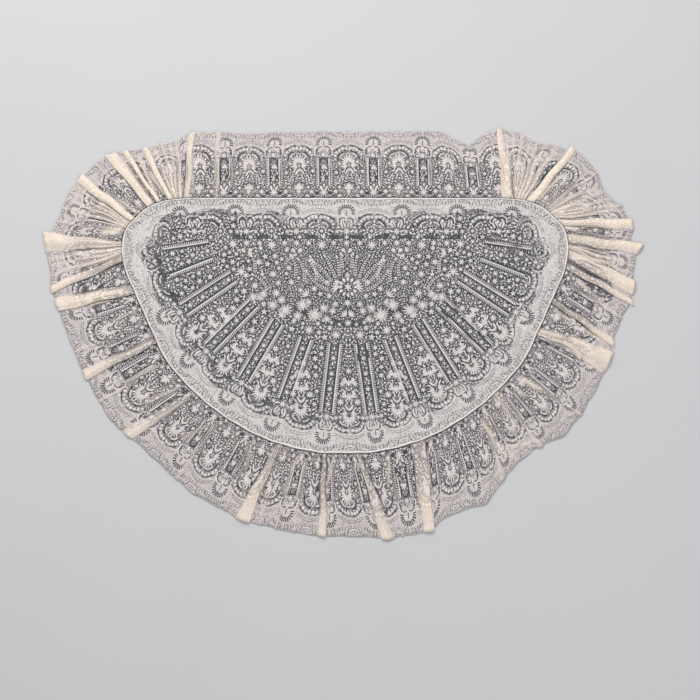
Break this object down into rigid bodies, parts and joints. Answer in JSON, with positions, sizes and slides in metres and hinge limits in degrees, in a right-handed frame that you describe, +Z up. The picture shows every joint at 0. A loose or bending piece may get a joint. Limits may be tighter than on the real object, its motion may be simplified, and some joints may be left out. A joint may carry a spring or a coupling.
{
  "type": "lace mantilla shawl laid flat",
  "caption": "Ivory lace mantilla laid flat: half-moon centre panel with a rolled edge and a gathered, folded lace flounce sewn all round it.",
  "frame": {"origin": "middle of the whole mantilla, on the surface it lies on", "axes": "+X across the mantilla, +Y towards the panel's straight edge, +Z up"},
  "size_m": [1.5932, 1.0914, 0.0095],
  "materials": {
    "panel_lace": "matte machine lace",
    "flounce_lace": "matte machine lace"
  },
  "bodies": {
    "root": {"centre_panel": "panel_lace", "flounce_top": "flounce_lace", "flounce_top_left": "flounce_lace", "flounce_left": "flounce_lace", "flounce_bottom_left": "flounce_lace", "flounce_bottom_right": "flounce_lace", "flounce_right": "flounce_lace"}
  },
  "joints": []
}
